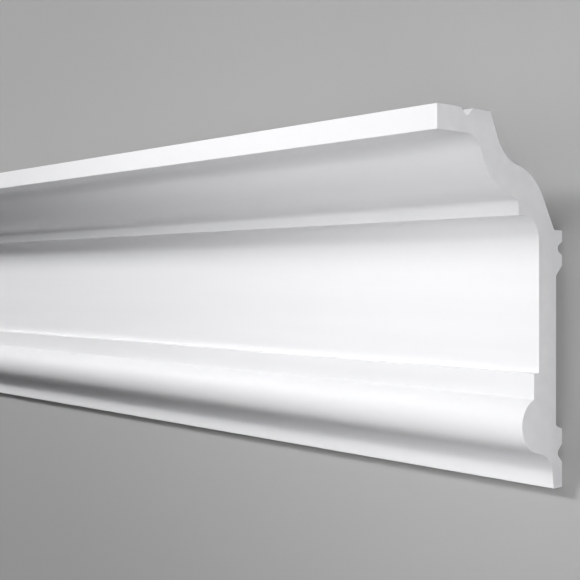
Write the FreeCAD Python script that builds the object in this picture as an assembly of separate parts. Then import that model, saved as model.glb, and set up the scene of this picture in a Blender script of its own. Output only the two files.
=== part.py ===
import FreeCAD, Part
import math
import os

# A cornice moulding for the angle between a wall and a ceiling, one length of moulded stock.
# It lies on its back: X runs along the length, Y from the bottom edge to the ceiling edge and
# Z straight out from the wall. The origin is at the middle of its underside. Millimetres.
# The section is drawn with "out", the distance from the wall, and "up", the height above
# the bottom edge.

# Overall size
LENGTH = 2000.0
DROP = 235.0
PROJECTION = 120.0

# Board: the plain band of the face, and the shallow recess that keeps it off the wall
BOARD_THICKNESS = 18.0
RECESS_DEPTH = 6.4
RECESS_ROOT_RADIUS = 2.0

# Foot: a toe that leans out a little, rising into the lower cove
TOE_THICKNESS = 9.2
TOE_LEAN = 6.0
LOWER_COVE_RADIUS = 15.0

# Torus: a round that stands out from the flat above it, on a sloping underside
TORUS_RADIUS = 17.5
TORUS_CENTRE_HEIGHT = 41.8
TORUS_BULGE = 12.0
UNDERSIDE_SLOPE = 15.0

# Flat above the torus, which steps back to the board at a square ledge
LEDGE_DEPTH = 5.1
LEDGE_HEIGHT = 74.6

# Upper cove and the fillet that overhangs it
UPPER_COVE_RADIUS = 15.0
FILLET_OVERHANG = 5.6
FILLET_HEIGHT = 9.4
FILLET_ROOT_RADIUS = 3.5

# Crown: an ogee that rises from the fillet to the soffit of the lip
LIP_HEIGHT = 15.0
LIP_OVERHANG = 35.2
CROWN_COVE_RADIUS = 13.5
CROWN_RISE = 29.5
CROWN_STEEP_ANGLE = 68.0
CROWN_BELLY_RADIUS = 36.0
CROWN_LOW_ANGLE = 15.8

# Hollow behind the crown: an ogee from the top of the wall pad to the ceiling face
CEILING_FACE = 48.0
WALL_PAD_TOP_BELOW_CEILING = 69.7
WALL_PAD_THICKNESS = 8.3
WALL_PAD_ROOT_RADIUS = 1.6
HOLLOW_LOWER_RISE = 35.3
HOLLOW_LOWER_ANGLE = 60.1
HOLLOW_LOWER_RADIUS = 38.0
HOLLOW_UPPER_DROP = 27.9
HOLLOW_UPPER_ANGLE = 65.5
HOLLOW_UPPER_RADIUS = 28.0

# Wall pads: the two raised strips that lie against the wall, above and below the recess
UPPER_PAD_HEIGHT = 22.8
UPPER_PAD_SLOPE = 46.0
LOWER_PAD_HEIGHT = 37.6
LOWER_PAD_SLOPE = 20.6

# Adhesive grooves: one in each wall pad and one in the ceiling face
GROOVE_DEPTH = 4.4
GROOVE_FLOOR_RADIUS = 3.0
LOWER_GROOVE_MOUTH = 11.4
LOWER_GROOVE_HEIGHT = 22.2
UPPER_GROOVE_MOUTH = 8.6
UPPER_GROOVE_BELOW_PAD_TOP = 11.7
CEILING_GROOVE_MOUTH = 10.4
CEILING_GROOVE_BEHIND_LIP = 26.2

# Small roundings left by the mould
FACE_ARRIS_RADIUS = 0.5
BACK_ARRIS_RADIUS = 0.9

WALL = 0.0
BOTTOM = 0.0


def tangent(angle):
    """Tangent of an angle in degrees."""
    return math.tan(math.radians(angle))


def section_point(out, up):
    """Place of a section point on the end face of the moulding."""
    return FreeCAD.Vector(-LENGTH / 2, up - DROP / 2, out)


def setback(before, corner, after, radius):
    """Distance from a corner to where a tangent arc of this radius leaves its two sides."""
    turn = (corner - before).getAngle(after - corner)
    return radius * math.tan(turn / 2)


def rounded_run(corners):
    """Edges along the corners, each (out, up, radius), with a tangent arc at each rounded one.

    Where two arcs meet on a short side, both shrink until they fit it.
    """
    places = [section_point(out, up) for out, up, radius in corners]
    wanted = [0.0] * len(corners)
    for i in range(1, len(corners) - 1):
        wanted[i] = setback(places[i - 1], places[i], places[i + 1], corners[i][2])
    room = [1.0] * len(corners)
    for i in range(len(corners) - 1):
        side = places[i].distanceToPoint(places[i + 1])
        taken = wanted[i] + wanted[i + 1]
        if taken > side:
            room[i] = min(room[i], side / taken)
            room[i + 1] = min(room[i + 1], side / taken)
    edges = []
    start = places[0]
    for i in range(1, len(corners) - 1):
        arriving = (places[i] - places[i - 1]).normalize()
        leaving = (places[i + 1] - places[i]).normalize()
        cut = wanted[i] * room[i]
        add_line(edges, start, places[i] - arriving * cut)
        start = places[i] + leaving * cut
        if cut > 0:
            half_turn = arriving.getAngle(leaving) / 2
            to_arc = cut / math.sin(half_turn) - cut / math.tan(half_turn)
            inward = (leaving - arriving).normalize()
            middle = places[i] + inward * to_arc
            edges.append(Part.Arc(places[i] - arriving * cut, middle, start).toShape())
    add_line(edges, start, places[-1])
    return edges


def add_line(edges, start, end):
    """Add the straight edge from start to end, unless the arcs beside it leave no room."""
    if start.distanceToPoint(end) > 1e-6:
        edges.append(Part.LineSegment(start, end).toShape())


def groove_apex_depth(mouth):
    """Depth at which the flanks of a groove would meet, if its floor were not rounded."""
    half = mouth / 2
    floor_centre = GROOVE_DEPTH - GROOVE_FLOOR_RADIUS
    slant = math.sqrt(half**2 + floor_centre**2 - GROOVE_FLOOR_RADIUS**2)
    return half * (floor_centre * half + GROOVE_FLOOR_RADIUS * slant) / (half**2 - GROOVE_FLOOR_RADIUS**2)


def wall_groove(height, mouth):
    """Corners of an adhesive groove in the wall face, from its upper edge to its lower one."""
    return [
        (WALL, height + mouth / 2, BACK_ARRIS_RADIUS),
        (WALL + groove_apex_depth(mouth), height, GROOVE_FLOOR_RADIUS),
        (WALL, height - mouth / 2, BACK_ARRIS_RADIUS),
    ]


def ceiling_groove(out, mouth):
    """Corners of the adhesive groove in the ceiling face, from its front edge to its back one."""
    return [
        (out + mouth / 2, DROP, BACK_ARRIS_RADIUS),
        (out, DROP - groove_apex_depth(mouth), GROOVE_FLOOR_RADIUS),
        (out - mouth / 2, DROP, BACK_ARRIS_RADIUS),
    ]


def face_corners(flat_top, flat_foot, fascia):
    """Corners of the face, from the top of the torus up to the front edge of the ceiling."""
    soffit = DROP - LIP_HEIGHT
    cove_corner = PROJECTION - LIP_OVERHANG
    belly_corner = cove_corner - CROWN_RISE / tangent(CROWN_STEEP_ANGLE)
    belly_height = soffit - CROWN_RISE
    fillet = fascia + UPPER_COVE_RADIUS + FILLET_OVERHANG
    fillet_top = belly_height - (belly_corner - fillet) * tangent(CROWN_LOW_ANGLE)
    fillet_bottom = fillet_top - FILLET_HEIGHT
    return [
        flat_foot,
        flat_top,
        (fascia, LEDGE_HEIGHT, 0),
        (fascia, fillet_bottom, UPPER_COVE_RADIUS),
        (fillet, fillet_bottom, FACE_ARRIS_RADIUS),
        (fillet, fillet_top, FILLET_ROOT_RADIUS),
        (belly_corner, belly_height, CROWN_BELLY_RADIUS),
        (cove_corner, soffit, CROWN_COVE_RADIUS),
        (PROJECTION, soffit, FACE_ARRIS_RADIUS),
        (PROJECTION, DROP, FACE_ARRIS_RADIUS),
    ]


def hollow_corners(pad_top):
    """Corners of the hollow behind the crown, from the ceiling face down to the wall pad."""
    upper_run = HOLLOW_UPPER_DROP / tangent(HOLLOW_UPPER_ANGLE)
    lower_run = HOLLOW_LOWER_RISE / tangent(HOLLOW_LOWER_ANGLE)
    ceiling_edge = PROJECTION - CEILING_FACE
    return [
        (ceiling_edge, DROP, BACK_ARRIS_RADIUS),
        (ceiling_edge - upper_run, DROP - HOLLOW_UPPER_DROP, HOLLOW_UPPER_RADIUS),
        (WALL_PAD_THICKNESS + lower_run, pad_top + HOLLOW_LOWER_RISE, HOLLOW_LOWER_RADIUS),
        (WALL_PAD_THICKNESS, pad_top, WALL_PAD_ROOT_RADIUS),
    ]


def wall_corners(pad_top):
    """Corners of the wall side, from the top of the upper pad down to the bottom edge."""
    upper_pad_bottom = pad_top - UPPER_PAD_HEIGHT
    recess_top = upper_pad_bottom - RECESS_DEPTH * tangent(UPPER_PAD_SLOPE)
    recess_bottom = LOWER_PAD_HEIGHT + RECESS_DEPTH * tangent(LOWER_PAD_SLOPE)
    return [
        (WALL, pad_top, BACK_ARRIS_RADIUS),
        *wall_groove(pad_top - UPPER_GROOVE_BELOW_PAD_TOP, UPPER_GROOVE_MOUTH),
        (WALL, upper_pad_bottom, BACK_ARRIS_RADIUS),
        (RECESS_DEPTH, recess_top, RECESS_ROOT_RADIUS),
        (RECESS_DEPTH, recess_bottom, RECESS_ROOT_RADIUS),
        (WALL, LOWER_PAD_HEIGHT, BACK_ARRIS_RADIUS),
        *wall_groove(LOWER_GROOVE_HEIGHT, LOWER_GROOVE_MOUTH),
        (WALL, BOTTOM, BACK_ARRIS_RADIUS),
    ]


def foot_corners(torus_centre):
    """Corners of the foot, from the toe round the lower cove to the underside of the torus."""
    slope = math.radians(UNDERSIDE_SLOPE)
    touch_out = torus_centre + TORUS_RADIUS * math.sin(slope)
    touch_up = TORUS_CENTRE_HEIGHT - TORUS_RADIUS * math.cos(slope)
    lean = tangent(TOE_LEAN)
    fall = tangent(UNDERSIDE_SLOPE)
    cove_up = (touch_up - (touch_out - TOE_THICKNESS) * fall) / (1 - lean * fall)
    return [
        (TOE_THICKNESS, BOTTOM, FACE_ARRIS_RADIUS),
        (TOE_THICKNESS + cove_up * lean, cove_up, LOWER_COVE_RADIUS),
        (touch_out, touch_up, 0),
    ]


def moulding_section():
    """Closed face of the whole section."""
    fascia = RECESS_DEPTH + BOARD_THICKNESS
    flat = fascia + LEDGE_DEPTH
    torus_front = flat + TORUS_BULGE
    torus_centre = torus_front - TORUS_RADIUS
    torus_top = TORUS_CENTRE_HEIGHT + math.sqrt(TORUS_RADIUS**2 - (flat - torus_centre) ** 2)
    flat_foot = (flat, torus_top, 0)
    flat_top = (flat, LEDGE_HEIGHT, FACE_ARRIS_RADIUS)
    pad_top = DROP - WALL_PAD_TOP_BELOW_CEILING
    foot = foot_corners(torus_centre)
    corners = [
        *face_corners(flat_top, flat_foot, fascia),
        *ceiling_groove(PROJECTION - CEILING_GROOVE_BEHIND_LIP, CEILING_GROOVE_MOUTH),
        *hollow_corners(pad_top),
        *wall_corners(pad_top),
        *foot,
    ]
    edges = rounded_run(corners)
    torus_foot = section_point(*foot[-1][:2])
    torus_nose = section_point(torus_front, TORUS_CENTRE_HEIGHT)
    edges.append(Part.Arc(torus_foot, torus_nose, section_point(flat, torus_top)).toShape())
    return Part.Face(Part.Wire(edges))


def cornice_moulding():
    """The section carried along the whole length."""
    return moulding_section().extrude(FreeCAD.Vector(LENGTH, 0, 0))


os.makedirs("parts", exist_ok=True)
moulding = cornice_moulding()
moulding.exportStep("parts/cornice_moulding.step")
print("volume", round(moulding.Volume / 1e6, 3), "litres, valid", moulding.isValid())
print("centre of mass", [round(c, 2) for c in moulding.CenterOfMass])
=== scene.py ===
import math

import bpy
from mathutils import Matrix, Vector


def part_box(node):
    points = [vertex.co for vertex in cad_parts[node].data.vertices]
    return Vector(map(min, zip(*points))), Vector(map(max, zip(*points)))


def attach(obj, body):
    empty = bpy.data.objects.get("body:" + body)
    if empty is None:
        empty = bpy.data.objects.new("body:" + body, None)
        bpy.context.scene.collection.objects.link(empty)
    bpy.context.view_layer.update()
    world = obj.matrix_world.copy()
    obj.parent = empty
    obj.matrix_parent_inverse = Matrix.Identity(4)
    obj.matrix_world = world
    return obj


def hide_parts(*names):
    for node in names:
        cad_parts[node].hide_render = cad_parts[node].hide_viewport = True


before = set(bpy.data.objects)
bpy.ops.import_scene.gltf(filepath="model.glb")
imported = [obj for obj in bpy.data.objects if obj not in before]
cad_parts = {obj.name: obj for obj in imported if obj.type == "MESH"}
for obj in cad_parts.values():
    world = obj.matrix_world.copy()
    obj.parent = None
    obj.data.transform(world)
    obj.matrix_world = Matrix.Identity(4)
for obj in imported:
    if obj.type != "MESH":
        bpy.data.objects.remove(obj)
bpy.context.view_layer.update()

# A length of cornice moulding that lies on its back, seen along its face from near one end.
# Lengths are in metres and angles in degrees. The section is drawn with "out", the distance from
# the wall plane, and "up", the height above the bottom edge.

MM = 0.001
NODE = "cornice_moulding"
low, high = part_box(NODE)
HALF_LENGTH = high.x
DROP = high.y - low.y
PROJECTION = high.z

# Board, foot and torus
BOARD_THICKNESS = 18.0 * MM
RECESS_DEPTH = 6.4 * MM
RECESS_ROOT_RADIUS = 2.0 * MM
TOE_THICKNESS = 9.2 * MM
TOE_LEAN = 6.0
LOWER_COVE_RADIUS = 15.0 * MM
TORUS_RADIUS = 17.5 * MM
TORUS_CENTRE_HEIGHT = 41.8 * MM
TORUS_BULGE = 12.0 * MM
UNDERSIDE_SLOPE = 15.0
LEDGE_DEPTH = 5.1 * MM
LEDGE_HEIGHT = 74.6 * MM

# Upper cove, fillet and crown
UPPER_COVE_RADIUS = 15.0 * MM
FILLET_OVERHANG = 5.6 * MM
FILLET_HEIGHT = 9.4 * MM
FILLET_ROOT_RADIUS = 3.5 * MM
LIP_HEIGHT = 15.0 * MM
LIP_OVERHANG = 35.2 * MM
CROWN_COVE_RADIUS = 13.5 * MM
CROWN_RISE = 29.5 * MM
CROWN_STEEP_ANGLE = 68.0
CROWN_BELLY_RADIUS = 36.0 * MM
CROWN_LOW_ANGLE = 15.8

# Hollow behind the crown
CEILING_FACE = 48.0 * MM
WALL_PAD_TOP_BELOW_CEILING = 69.7 * MM
WALL_PAD_THICKNESS = 8.3 * MM
WALL_PAD_ROOT_RADIUS = 1.6 * MM
HOLLOW_LOWER_RISE = 35.3 * MM
HOLLOW_LOWER_ANGLE = 60.1
HOLLOW_LOWER_RADIUS = 38.0 * MM
HOLLOW_UPPER_DROP = 27.9 * MM
HOLLOW_UPPER_ANGLE = 65.5
HOLLOW_UPPER_RADIUS = 28.0 * MM

# Wall pads and adhesive grooves
UPPER_PAD_HEIGHT = 22.8 * MM
UPPER_PAD_SLOPE = 46.0
LOWER_PAD_HEIGHT = 37.6 * MM
LOWER_PAD_SLOPE = 20.6
GROOVE_DEPTH = 4.4 * MM
GROOVE_FLOOR_RADIUS = 3.0 * MM
LOWER_GROOVE_MOUTH = 11.4 * MM
LOWER_GROOVE_HEIGHT = 22.2 * MM
UPPER_GROOVE_MOUTH = 8.6 * MM
UPPER_GROOVE_BELOW_PAD_TOP = 11.7 * MM
CEILING_GROOVE_MOUTH = 10.4 * MM
CEILING_GROOVE_BEHIND_LIP = 26.2 * MM

# Arrises, and how finely the mesh follows the arcs
FACE_ARRIS_RADIUS = 0.5 * MM
BACK_ARRIS_RADIUS = 0.9 * MM
END_ARRIS = 0.25 * MM
ARC_ERROR = 0.008 * MM
FEWEST_ARC_STEPS = 3
STATION_SPACING = 100.0 * MM


def tangent(angle):
    """Tangent of an angle in degrees."""
    return math.tan(math.radians(angle))


def arc_steps(radius, turn):
    """How many straight steps follow an arc of this radius and turn within the arc error."""
    step = 2 * math.acos(1 - ARC_ERROR / radius)
    return max(FEWEST_ARC_STEPS, math.ceil(turn / step))


def arc_points(centre, first, turn, steps):
    """Points of an arc from the place first round centre, each with its outward normal."""
    spoke = first - centre
    bulges = 1 if turn > 0 else -1
    points = []
    for i in range(steps + 1):
        rotated = Matrix.Rotation(turn * i / steps, 2) @ spoke
        points.append((centre + rotated, rotated.normalized() * bulges))
    return points


def rounded_run(corners):
    """Stretches along the corners, each (out, up, radius), with a tangent arc at each rounded one.

    A stretch is a list of (place, outward normal). The run goes round the section anticlockwise,
    so the outside is on its right.
    """
    places = [Vector(corner[:2]) for corner in corners]
    stretches = []
    start = places[0]
    for i in range(1, len(corners)):
        along = (places[i] - places[i - 1]).normalized()
        outward = Vector((along.y, -along.x))
        radius = corners[i][2]
        if i == len(corners) - 1 or radius == 0:
            stretches.append([(start, outward), (places[i], outward)])
            start = places[i]
            continue
        leaving = (places[i + 1] - places[i]).normalized()
        turn = math.atan2(along.cross(leaving), along.dot(leaving))
        cut = radius * math.tan(abs(turn) / 2)
        first = places[i] - along * cut
        stretches.append([(start, outward), (first, outward)])
        centre = first - outward * radius * math.copysign(1, turn)
        stretches.append(arc_points(centre, first, turn, arc_steps(radius, abs(turn))))
        start = places[i] + leaving * cut
    return stretches


def groove_apex_depth(mouth):
    """Depth at which the flanks of a groove would meet, if its floor were not rounded."""
    half = mouth / 2
    radius = GROOVE_FLOOR_RADIUS
    centre_depth = GROOVE_DEPTH - radius
    slant = math.sqrt(half**2 + centre_depth**2 - radius**2)
    return half * (centre_depth * half + radius * slant) / (half**2 - radius**2)


def wall_groove(height, mouth):
    """Corners of an adhesive groove in the wall face, from its upper edge to its lower one."""
    return [
        (0, height + mouth / 2, BACK_ARRIS_RADIUS),
        (groove_apex_depth(mouth), height, GROOVE_FLOOR_RADIUS),
        (0, height - mouth / 2, BACK_ARRIS_RADIUS),
    ]


def ceiling_groove(out, mouth):
    """Corners of the adhesive groove in the ceiling face, from its front edge to its back one."""
    return [
        (out + mouth / 2, DROP, BACK_ARRIS_RADIUS),
        (out, DROP - groove_apex_depth(mouth), GROOVE_FLOOR_RADIUS),
        (out - mouth / 2, DROP, BACK_ARRIS_RADIUS),
    ]


def face_corners(flat, torus_top, fascia):
    """Corners of the face, from the top of the torus up to the front edge of the ceiling."""
    soffit = DROP - LIP_HEIGHT
    cove_corner = PROJECTION - LIP_OVERHANG
    belly_corner = cove_corner - CROWN_RISE / tangent(CROWN_STEEP_ANGLE)
    belly_height = soffit - CROWN_RISE
    fillet = fascia + UPPER_COVE_RADIUS + FILLET_OVERHANG
    fillet_top = belly_height - (belly_corner - fillet) * tangent(CROWN_LOW_ANGLE)
    fillet_bottom = fillet_top - FILLET_HEIGHT
    return [
        (flat, torus_top, 0),
        (flat, LEDGE_HEIGHT, FACE_ARRIS_RADIUS),
        (fascia, LEDGE_HEIGHT, 0),
        (fascia, fillet_bottom, UPPER_COVE_RADIUS),
        (fillet, fillet_bottom, FACE_ARRIS_RADIUS),
        (fillet, fillet_top, FILLET_ROOT_RADIUS),
        (belly_corner, belly_height, CROWN_BELLY_RADIUS),
        (cove_corner, soffit, CROWN_COVE_RADIUS),
        (PROJECTION, soffit, FACE_ARRIS_RADIUS),
        (PROJECTION, DROP, FACE_ARRIS_RADIUS),
    ]


def back_corners():
    """Corners of the hollow behind the crown and of the wall side, down to the bottom edge."""
    pad_top = DROP - WALL_PAD_TOP_BELOW_CEILING
    ceiling_edge = PROJECTION - CEILING_FACE
    upper_run = HOLLOW_UPPER_DROP / tangent(HOLLOW_UPPER_ANGLE)
    lower_run = HOLLOW_LOWER_RISE / tangent(HOLLOW_LOWER_ANGLE)
    upper_pad_bottom = pad_top - UPPER_PAD_HEIGHT
    return [
        (ceiling_edge, DROP, BACK_ARRIS_RADIUS),
        (ceiling_edge - upper_run, DROP - HOLLOW_UPPER_DROP, HOLLOW_UPPER_RADIUS),
        (WALL_PAD_THICKNESS + lower_run, pad_top + HOLLOW_LOWER_RISE, HOLLOW_LOWER_RADIUS),
        (WALL_PAD_THICKNESS, pad_top, WALL_PAD_ROOT_RADIUS),
        (0, pad_top, BACK_ARRIS_RADIUS),
        *wall_groove(pad_top - UPPER_GROOVE_BELOW_PAD_TOP, UPPER_GROOVE_MOUTH),
        (0, upper_pad_bottom, BACK_ARRIS_RADIUS),
        (RECESS_DEPTH, upper_pad_bottom - RECESS_DEPTH * tangent(UPPER_PAD_SLOPE), RECESS_ROOT_RADIUS),
        (RECESS_DEPTH, LOWER_PAD_HEIGHT + RECESS_DEPTH * tangent(LOWER_PAD_SLOPE), RECESS_ROOT_RADIUS),
        (0, LOWER_PAD_HEIGHT, BACK_ARRIS_RADIUS),
        *wall_groove(LOWER_GROOVE_HEIGHT, LOWER_GROOVE_MOUTH),
        (0, 0, BACK_ARRIS_RADIUS),
    ]


def section_stretches():
    """The whole section as stretches, closed by the torus."""
    fascia = RECESS_DEPTH + BOARD_THICKNESS
    flat = fascia + LEDGE_DEPTH
    torus_centre = Vector((flat + TORUS_BULGE - TORUS_RADIUS, TORUS_CENTRE_HEIGHT))
    to_flat = math.acos((flat - torus_centre.x) / TORUS_RADIUS)
    torus_top = torus_centre.y + TORUS_RADIUS * math.sin(to_flat)
    slope = math.radians(UNDERSIDE_SLOPE)
    torus_foot = torus_centre + TORUS_RADIUS * Vector((math.sin(slope), -math.cos(slope)))
    lean = tangent(TOE_LEAN)
    fall = tangent(UNDERSIDE_SLOPE)
    cove_up = (torus_foot.y - (torus_foot.x - TOE_THICKNESS) * fall) / (1 - lean * fall)
    stretches = rounded_run([
        *face_corners(flat, torus_top, fascia),
        *ceiling_groove(PROJECTION - CEILING_GROOVE_BEHIND_LIP, CEILING_GROOVE_MOUTH),
        *back_corners(),
        (TOE_THICKNESS, 0, FACE_ARRIS_RADIUS),
        (TOE_THICKNESS + cove_up * lean, cove_up, LOWER_COVE_RADIUS),
        (torus_foot.x, torus_foot.y, 0),
    ])
    turn = math.pi / 2 - slope + to_flat
    stretches.append(arc_points(torus_centre, torus_foot, turn, arc_steps(TORUS_RADIUS, turn)))
    return stretches


def section_ring():
    """The section as points (place, normal on the side before it, normal on the side after it)."""
    stretches = section_stretches()
    before = stretches[-1][-1][1]
    ring = []
    for stretch in stretches:
        first, *others = stretch[:-1]
        ring.append((first[0], before, first[1]))
        ring += [(place, normal, normal) for place, normal in others]
        before = stretch[-1][1]
    return ring


def inset(ring, depth):
    """Places of the ring moved into the section by a depth, square to its sides."""
    return [
        place - (before + after) * (depth / (1 + before.dot(after)))
        for place, before, after in ring
    ]


def length_rings(ring):
    """The section's places at each station along the length, smaller at the eased ends."""
    places = [place for place, before, after in ring]
    inner = inset(ring, END_ARRIS)
    body = HALF_LENGTH - END_ARRIS
    spans = math.ceil(2 * body / STATION_SPACING)
    stations = [-body + 2 * body * i / spans for i in range(spans + 1)]
    return [(-HALF_LENGTH, inner), *((x, places) for x in stations), (HALF_LENGTH, inner)]


def moulding_mesh(name):
    """Mesh of the moulding, with eased ends and a normal for every corner of every face."""
    ring = section_ring()
    rings = length_rings(ring)
    count = len(ring)
    last_row = len(rings) - 1
    vertices = [(x, p.y - DROP / 2, p.x) for x, places in rings for p in places]
    normals_before = [Vector((0, before.y, before.x)) for place, before, after in ring]
    normals_after = [Vector((0, after.y, after.x)) for place, before, after in ring]
    end_normals = {0: Vector((-1, 0, 0)), last_row: Vector((1, 0, 0))}
    faces = []
    normals = []
    for row in range(last_row):
        this_end = end_normals.get(row)
        next_end = end_normals.get(row + 1)
        here = row * count
        there = here + count
        for i in range(count):
            j = (i + 1) % count
            faces.append((here + j, here + i, there + i, there + j))
            first = normals_after[i]
            second = normals_before[j]
            normals += [this_end or second, this_end or first, next_end or first, next_end or second]
    faces.append(range(count))
    faces.append(range(len(vertices) - 1, len(vertices) - count - 1, -1))
    normals += [end_normals[0]] * count + [end_normals[last_row]] * count
    mesh = bpy.data.meshes.new(name)
    mesh.from_pydata(vertices, [], faces)
    mesh.validate()
    mesh.shade_smooth()
    mesh.normals_split_custom_set(normals)
    for end_face in mesh.polygons[-2:]:
        end_face.material_index = 1
    return mesh


def add_object(name, data):
    """A new object with this data, in the scene."""
    thing = bpy.data.objects.new(name, data)
    bpy.context.scene.collection.objects.link(thing)
    return thing


# The camera. It is turned about the Y axis alone, so lines across the moulding stay upright.
# Its lens and sensor are in millimetres.
LENS = 68.28
SENSOR = 36.0
CLIP_NEAR = 0.02
CLIP_FAR = 400.0
PICTURE_SHIFT = -0.02
CAMERA_TURN = 49.28
CAMERA_PLACE = (1.4224, 0.0168, 0.5948)


def build_camera():
    """The camera at the photograph's viewpoint."""
    camera = add_object("camera", bpy.data.cameras.new("camera"))
    camera.data.lens = LENS
    camera.data.sensor_width = SENSOR
    camera.data.shift_y = PICTURE_SHIFT
    camera.data.clip_start = CLIP_NEAR
    camera.data.clip_end = CLIP_FAR
    camera.location = CAMERA_PLACE
    camera.rotation_euler = (0, math.radians(CAMERA_TURN), 0)
    bpy.context.scene.camera = camera


# Floor and world
FLOOR_REACH = 150.0
FLOOR_TONE = 0.44
FLOOR_ROUGHNESS = 0.9
WORLD_TONE = 0.04

# Where each lamp stands, where it points, its width, its power in watts and how far its light
# fans out. The key stands high beyond the far end, on the ceiling edge's side. The other lamps
# are small and close: two for each half of the face and two for the near end.
FACE_AIM = (0.65, 0.0, 0.05)
FAR_AIM = (-0.65, 0.0, 0.05)
END_AIM = (0.95, 0.0, 0.06)
LAMPS = {
    "key": ((-1.39, 1.43, 2.06), FACE_AIM, 0.5, 21.6, 100.0),
    "near_front": ((1.50, 0.12, 0.65), FACE_AIM, 0.2, 2.40, 180.0),
    "near_fill": ((0.80, 0.10, 0.50), FACE_AIM, 0.3, 0.64, 180.0),
    "far_front": ((-1.40, -0.10, 0.50), FAR_AIM, 0.3, 1.41, 180.0),
    "far_fill": ((-0.80, 0.10, 0.50), FAR_AIM, 0.3, 0.22, 180.0),
    "end_front": ((1.40, -0.20, 0.35), END_AIM, 0.25, 0.138, 70.0),
    "end_side": ((1.15, -0.70, 0.35), END_AIM, 0.25, 0.142, 70.0),
}

# Shaded ceiling lights with a gap over the moulding. They shine straight down, so they light the
# floor all round it but not the moulding itself. Their power is in watts for a square metre.
CEILING_HEIGHT = 0.6
CEILING_REACH = 140.0
CEILING_GAP_ENDS = 1.6
CEILING_GAP_NORTH = 1.2
CEILING_GAP_SOUTH = 0.72
CEILING_FAN = 90.0
CEILING_POWER_PER_AREA = 2.5

# The usual range of a cloudy pattern, and how much its finer parts count
NOISE_LOW = 0.3
NOISE_HIGH = 0.7
NOISE_ROUGHNESS = 0.5


def new_material(name):
    """A new material with its node tree and its main shader."""
    material = bpy.data.materials.new(name)
    material.use_nodes = True
    tree = material.node_tree
    return material, tree, tree.nodes["Principled BSDF"]


def add_node(tree, kind, values):
    """A new shader node with the values of its inputs."""
    node = tree.nodes.new(kind)
    for name, value in values.items():
        node.inputs[name].default_value = value
    return node


def noise(tree, cells, detail):
    """A cloudy pattern on the object, with a count of cells per metre along X, Y and Z."""
    coordinates = tree.nodes.new("ShaderNodeTexCoord")
    mapping = add_node(tree, "ShaderNodeMapping", {"Scale": cells})
    pattern = add_node(tree, "ShaderNodeTexNoise", {
        "Scale": 1.0, "Detail": detail, "Roughness": NOISE_ROUGHNESS,
    })
    tree.links.new(coordinates.outputs["Object"], mapping.inputs["Vector"])
    tree.links.new(mapping.outputs["Vector"], pattern.inputs["Vector"])
    return pattern.outputs["Fac"]


def spread_over(tree, pattern, low_value, high_value):
    """The pattern, with its usual range spread over the two values."""
    ranged = add_node(tree, "ShaderNodeMapRange", {
        "From Min": NOISE_LOW, "From Max": NOISE_HIGH, "To Min": low_value, "To Max": high_value,
    })
    tree.links.new(pattern, ranged.inputs["Value"])
    return ranged.outputs["Result"]


def blend(tree, share, first, second):
    """A colour between the first and the second, by the share."""
    mix = tree.nodes.new("ShaderNodeMix")
    mix.data_type = "RGBA"
    mix.inputs["A"].default_value = (*first, 1)
    mix.inputs["B"].default_value = (*second, 1)
    tree.links.new(share, mix.inputs["Factor"])
    return mix.outputs["Result"]


def relief(tree, height, depth):
    """A bump of this depth in metres from the height pattern."""
    bump = add_node(tree, "ShaderNodeBump", {"Strength": 1.0, "Distance": depth})
    tree.links.new(height, bump.inputs["Height"])
    return bump.outputs["Normal"]


# Primer on the moulded skin: tone and sheen drift in long streaks, as it was moulded
PRIMER_THIN = (0.835, 0.836, 0.852)
PRIMER_FULL = (0.868, 0.868, 0.884)
PRIMER_ROUGHNESS = (0.58, 0.70)
STREAK_CELLS = (2.0, 45.0, 45.0)
STREAK_DETAIL = 3.0
PEEL_CELLS = (650.0, 900.0, 900.0)
PEEL_DETAIL = 2.0
PEEL_DEPTH = 0.010 * MM

# Primer on the sawn ends: blotchy and duller, with the marks of the saw
END_THIN = (0.83, 0.831, 0.846)
END_FULL = (0.875, 0.875, 0.891)
END_ROUGHNESS = (0.72, 0.84)
BLOTCH_CELLS = (90.0, 90.0, 90.0)
BLOTCH_DETAIL = 4.0
SAW_CELLS = (1.0, 60.0, 1500.0)
SAW_DETAIL = 3.0
SAW_DEPTH = 0.012 * MM


def primer(name, drift, colors, roughness, grain, grain_depth):
    """A primed surface whose tone and sheen follow one pattern and whose relief follows another."""
    material, tree, shader = new_material(name)
    pattern = noise(tree, *drift)
    color = blend(tree, spread_over(tree, pattern, 0.0, 1.0), *colors)
    tree.links.new(color, shader.inputs["Base Color"])
    tree.links.new(spread_over(tree, pattern, *roughness), shader.inputs["Roughness"])
    tree.links.new(relief(tree, noise(tree, *grain), grain_depth), shader.inputs["Normal"])
    return material


def primed_face_material():
    """White primer on the moulded skin."""
    return primer(
        "primed_face",
        (STREAK_CELLS, STREAK_DETAIL),
        (PRIMER_THIN, PRIMER_FULL),
        PRIMER_ROUGHNESS,
        (PEEL_CELLS, PEEL_DETAIL),
        PEEL_DEPTH,
    )


def sawn_end_material():
    """White primer on the sawn ends."""
    return primer(
        "sawn_end",
        (BLOTCH_CELLS, BLOTCH_DETAIL),
        (END_THIN, END_FULL),
        END_ROUGHNESS,
        (SAW_CELLS, SAW_DETAIL),
        SAW_DEPTH,
    )


def floor_material():
    """Plain matt grey."""
    material, tree, shader = new_material("floor")
    shader.inputs["Base Color"].default_value = (FLOOR_TONE, FLOOR_TONE, FLOOR_TONE, 1)
    shader.inputs["Roughness"].default_value = FLOOR_ROUGHNESS
    return material


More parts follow.
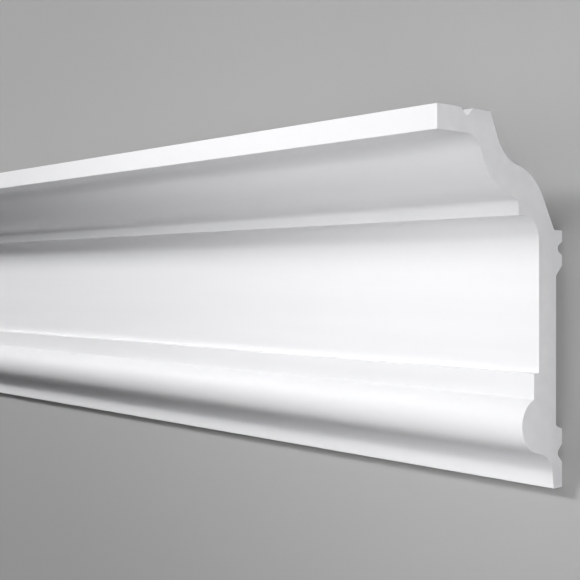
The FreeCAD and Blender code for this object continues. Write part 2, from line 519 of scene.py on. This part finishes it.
def build_floor():
    """A level floor under the moulding, wide enough for any view."""
    reach = FLOOR_REACH
    corners = [(-reach, -reach), (reach, -reach), (reach, reach), (-reach, reach)]
    mesh = bpy.data.meshes.new("floor")
    mesh.from_pydata([(x, y, low.z) for x, y in corners], [], [(0, 1, 2, 3)])
    mesh.materials.append(floor_material())
    add_object("floor", mesh)


def area_light(name, location, aim, sides, power, fan):
    """A lamp at a location that shines towards the aim and doesn't show itself."""
    light = bpy.data.lights.new(name, "AREA")
    light.shape = "RECTANGLE"
    light.size, light.size_y = sides
    light.energy = power
    light.spread = math.radians(fan)
    lamp = add_object(name, light)
    lamp.location = location
    lamp.rotation_euler = (Vector(aim) - Vector(location)).to_track_quat("-Z", "Y").to_euler()
    lamp.visible_camera = False


def ceiling_light(name, x_span, y_span):
    """A shaded ceiling light over a span of the floor along X and along Y."""
    x = sum(x_span) / 2
    y = sum(y_span) / 2
    sides = (x_span[1] - x_span[0], y_span[1] - y_span[0])
    power = CEILING_POWER_PER_AREA * sides[0] * sides[1]
    area_light(name, (x, y, CEILING_HEIGHT), (x, y, 0), sides, power, CEILING_FAN)


def build_lights():
    """A dim even world, the lamps round the moulding and the shaded ceiling lights."""
    world = bpy.data.worlds.new("studio")
    world.use_nodes = True
    background = world.node_tree.nodes["Background"]
    background.inputs["Color"].default_value = (1, 1, 1, 1)
    background.inputs["Strength"].default_value = WORLD_TONE
    bpy.context.scene.world = world
    for name, (location, aim, size, power, fan) in LAMPS.items():
        area_light(name, location, aim, (size, size), power, fan)
    reach = CEILING_REACH
    beside = (-CEILING_GAP_SOUTH, CEILING_GAP_NORTH)
    ceiling_light("east_ceiling", (CEILING_GAP_ENDS, reach), beside)
    ceiling_light("west_ceiling", (-reach, -CEILING_GAP_ENDS), beside)
    ceiling_light("north_ceiling", (-reach, reach), (CEILING_GAP_NORTH, reach))
    ceiling_light("south_ceiling", (-reach, reach), (-reach, -CEILING_GAP_SOUTH))


def build_moulding():
    """The moulding as one piece that stands for its solid."""
    piece = add_object("primed_cornice", moulding_mesh("primed_cornice"))
    piece.data.materials.append(primed_face_material())
    piece.data.materials.append(sawn_end_material())
    return piece


moulding = build_moulding()
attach(moulding, "root")
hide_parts(NODE)
build_floor()
build_lights()
build_camera()
bpy.context.scene.view_settings.view_transform = "Standard"
